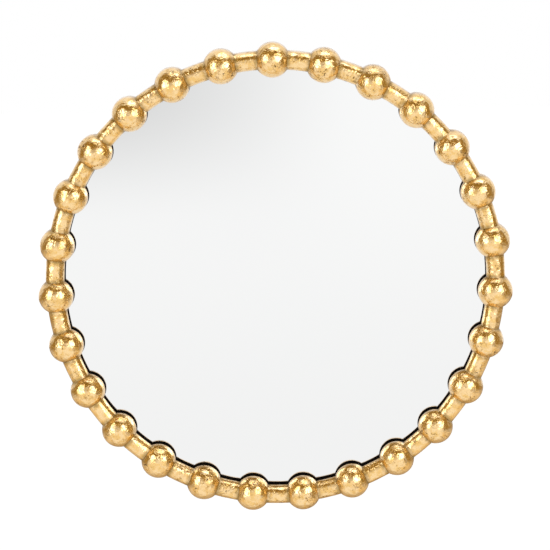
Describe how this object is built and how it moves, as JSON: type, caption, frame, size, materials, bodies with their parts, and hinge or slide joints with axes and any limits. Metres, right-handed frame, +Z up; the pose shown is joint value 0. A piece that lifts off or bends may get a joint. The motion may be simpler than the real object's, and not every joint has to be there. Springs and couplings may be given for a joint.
{
  "type": "round wall mirror",
  "caption": "Round flat wall mirror in a gold-leaf frame of half-round beads joined by short half-round bars, on a black backboard with swinging D-ring hangers.",
  "frame": {"origin": "centre of the mirror, on the wall plane that the rubber bumpers touch", "axes": "+Z up with the mirror hung, +X to the right as seen from the front, +Y into the wall; the mirror faces -Y"},
  "size_m": [0.609, 0.0518, 0.6081],
  "materials": {
    "gold_leaf": "gold leaf on turned wood, lightly rubbed, semi-gloss",
    "frame_base": "black satin paint inside and behind, gold leaf on the outer edge",
    "mirror": "clear silvered glass with a ground edge",
    "gasket_foam": "black closed-cell foam",
    "bonding_foam": "white double-sided foam tape",
    "board_paint": "matt black paint on fibreboard",
    "zinc_plate": "bright zinc plate",
    "dowel_beech": "bare beech",
    "bumper_rubber": "matt black rubber"
  },
  "bodies": {
    "frame": {"backboard": "board_paint", "backing_ring": "frame_base", "bead_01": "gold_leaf", "bead_02": "gold_leaf", "bead_03": "gold_leaf", "bead_04": "gold_leaf", "bead_05": "gold_leaf", "bead_06": "gold_leaf", "bead_07": "gold_leaf", "bead_08": "gold_leaf", "bead_09": "gold_leaf", "bead_10": "gold_leaf", "bead_11": "gold_leaf", "bead_12": "gold_leaf", "bead_13": "gold_leaf", "bead_14": "gold_leaf", "bead_15": "gold_leaf", "bead_16": "gold_leaf", "bead_17": "gold_leaf", "bead_18": "gold_leaf", "bead_19": "gold_leaf", "bead_20": "gold_leaf", "bead_21": "gold_leaf", "bead_22": "gold_leaf", "bead_23": "gold_leaf", "bead_24": "gold_leaf", "bead_25": "gold_leaf", "bead_26": "gold_leaf", "bead_27": "gold_leaf", "bead_dowels": "dowel_beech", "bonding_strips": "bonding_foam", "frame_screws": "zinc_plate", "glass_gasket": "gasket_foam", "hanger_left": "zinc_plate", "hanger_right": "zinc_plate", "hanger_screws": "zinc_plate", "link_bars": "gold_leaf", "mirror_glass": "mirror", "wall_bumpers": "bumper_rubber"},
    "left_d_ring": {"d_ring_left": "zinc_plate"},
    "right_d_ring": {"d_ring_right": "zinc_plate"}
  },
  "joints": [
    {"name": "left_d_ring_swing", "type": "hinge", "parent": "frame", "child": "left_d_ring", "pos_m": [-0.15, -0.0032, 0.13], "axis": [1, 0, 0], "range_deg": [0, 180]},
    {"name": "right_d_ring_swing", "type": "hinge", "parent": "frame", "child": "right_d_ring", "pos_m": [0.15, -0.0032, 0.13], "axis": [1, 0, 0], "range_deg": [0, 180]}
  ]
}
